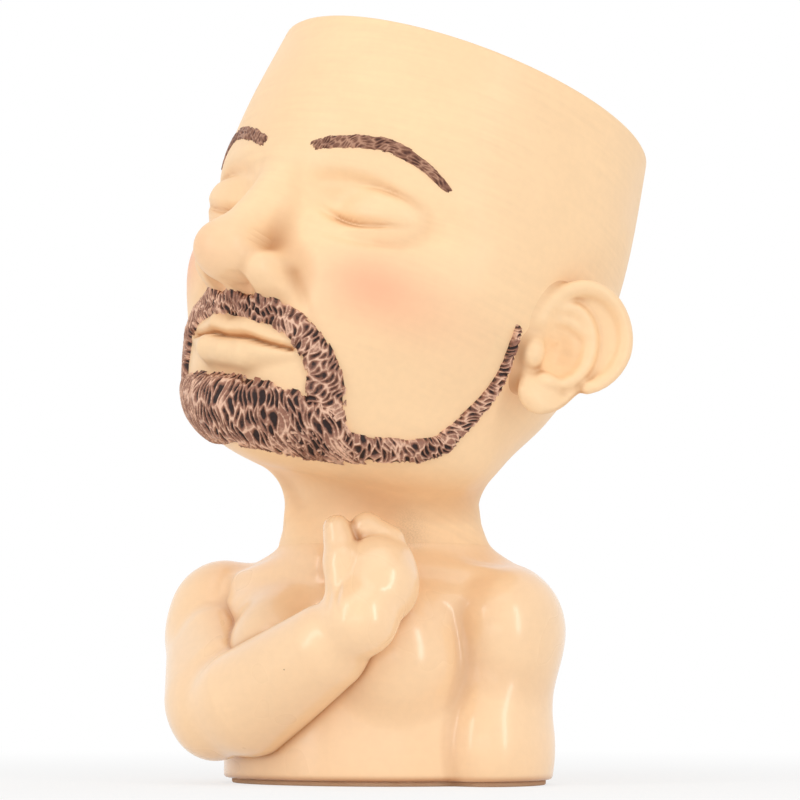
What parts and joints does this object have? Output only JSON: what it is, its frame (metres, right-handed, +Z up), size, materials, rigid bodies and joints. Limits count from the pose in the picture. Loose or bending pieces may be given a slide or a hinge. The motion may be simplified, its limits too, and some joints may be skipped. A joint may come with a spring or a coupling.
{
  "type": "head planter",
  "caption": "Painted cast resin planter: oversized bald bearded head with an open crown as the pot, on a small bare bust with a fist held at the throat",
  "frame": {"origin": "middle of the underside, on the plane the planter stands on", "axes": "+Z up, the chest faces -Y, the bust's own left is +X"},
  "size_m": [0.158, 0.1557, 0.2273],
  "materials": {
    "head_skin": "satin paint on cast resin",
    "torso_skin": "gloss paint on cast resin",
    "hair": "dry-brushed paint on cast resin",
    "rubber": "matte",
    "foam": "matte foam"
  },
  "bodies": {
    "planter": {"torso": "torso_skin", "head_pot": "head_skin", "bent_arm": "torso_skin", "beard": "hair", "moustache": "hair", "right_eyebrow": "hair", "left_eyebrow": "hair", "base_pad": "foam"},
    "plug": {"drain_plug": "rubber"}
  },
  "joints": [
    {"name": "drain_plug_lift", "type": "slide", "parent": "planter", "child": "plug", "axis": [0, 0, 1], "range_m": [0, 0.14]}
  ]
}
